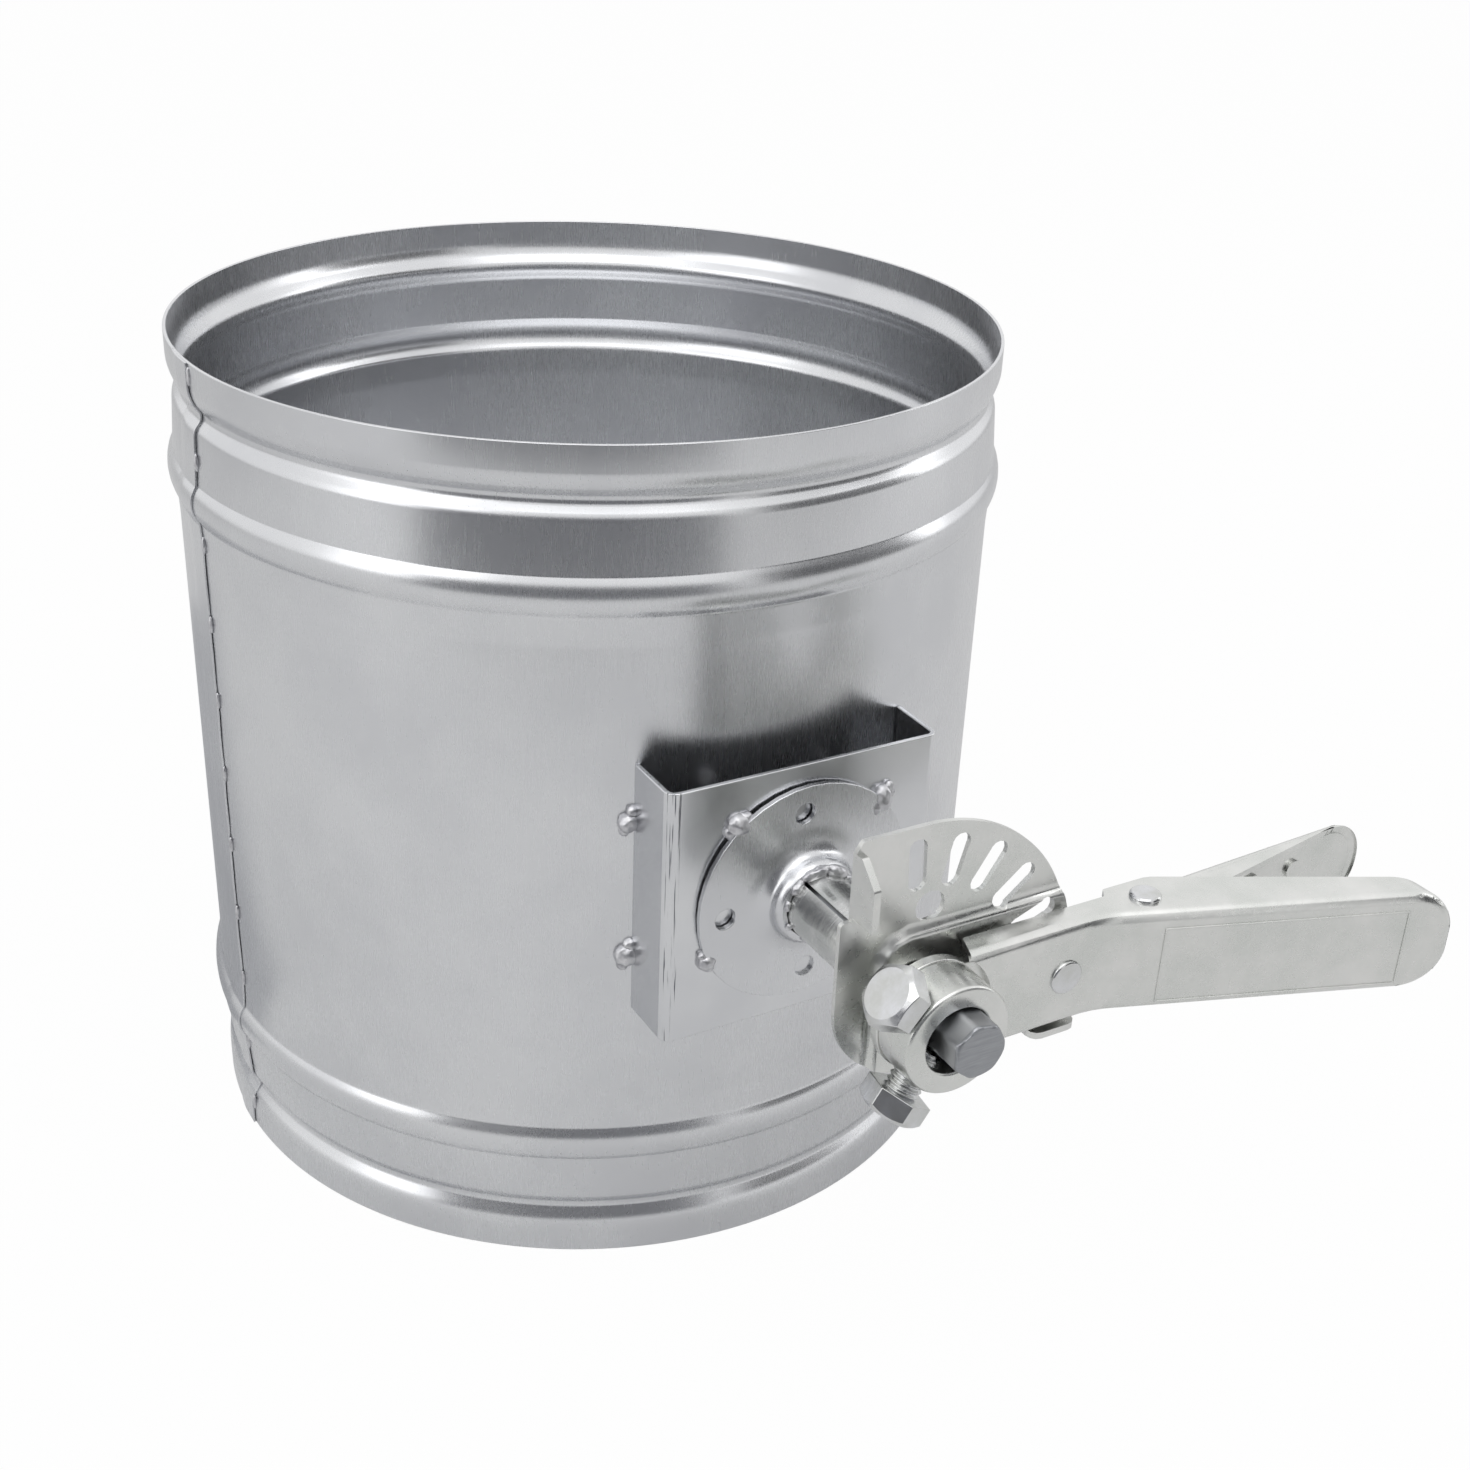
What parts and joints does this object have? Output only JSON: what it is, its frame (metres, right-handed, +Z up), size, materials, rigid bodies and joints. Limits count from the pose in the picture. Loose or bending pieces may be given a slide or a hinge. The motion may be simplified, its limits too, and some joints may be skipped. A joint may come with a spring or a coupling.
{
  "type": "stove pipe damper",
  "caption": "Round galvanised duct section with a butterfly blade on a cross shaft, turned by a squeeze-to-release locking lever over a slotted quadrant.",
  "frame": {"origin": "middle of the lower rim, on the duct's axis", "axes": "+Z up along the duct, +X along the closed lever, -Y outwards along the shaft towards the lever"},
  "size_m": [0.2298, 0.2968, 0.206],
  "materials": {
    "galvanised_sheet": "satin hot-dip galvanised sheet",
    "zinc_plated_steel": "bright zinc plated pressed steel",
    "bolt_zinc": "zinc plated with a faint yellow tint",
    "bare_steel": "drawn bar with a sawn end",
    "weld_metal": "lumpy tack weld",
    "spring_steel": "drawn wire"
  },
  "bodies": {
    "carrier": {"duct_body": "galvanised_sheet", "mounting_bracket": "galvanised_sheet", "flange_disc": "zinc_plated_steel", "shaft_sleeve": "zinc_plated_steel", "rear_bush": "zinc_plated_steel", "disc_tacks": "weld_metal", "bracket_tacks": "weld_metal", "quadrant_plate": "zinc_plated_steel"},
    "damper": {"shaft": "bare_steel", "blade": "galvanised_sheet", "blade_bolts": "bolt_zinc", "blade_washers": "bolt_zinc", "blade_nuts": "bolt_zinc", "hub": "zinc_plated_steel", "strap": "zinc_plated_steel", "upper_set_bolt": "bolt_zinc", "lower_set_bolt": "bolt_zinc", "main_lever": "zinc_plated_steel", "lever_rivet": "bolt_zinc", "pivot_pin": "bolt_zinc", "return_spring": "spring_steel"},
    "squeeze": {"squeeze_lever": "zinc_plated_steel"}
  },
  "joints": [
    {"name": "turn", "type": "hinge", "parent": "carrier", "child": "damper", "pos_m": [0, 0, 0.103], "axis": [0, -1, 0], "range_deg": [0, 90]},
    {"name": "squeeze_pivot", "type": "hinge", "parent": "damper", "child": "squeeze", "pos_m": [0.0545, -0.1605, 0.1019], "axis": [0, 0, -1], "range_deg": [-7, 15], "stiffness_Nm_per_rad": 0.6, "deforming": ["return_spring"]}
  ]
}
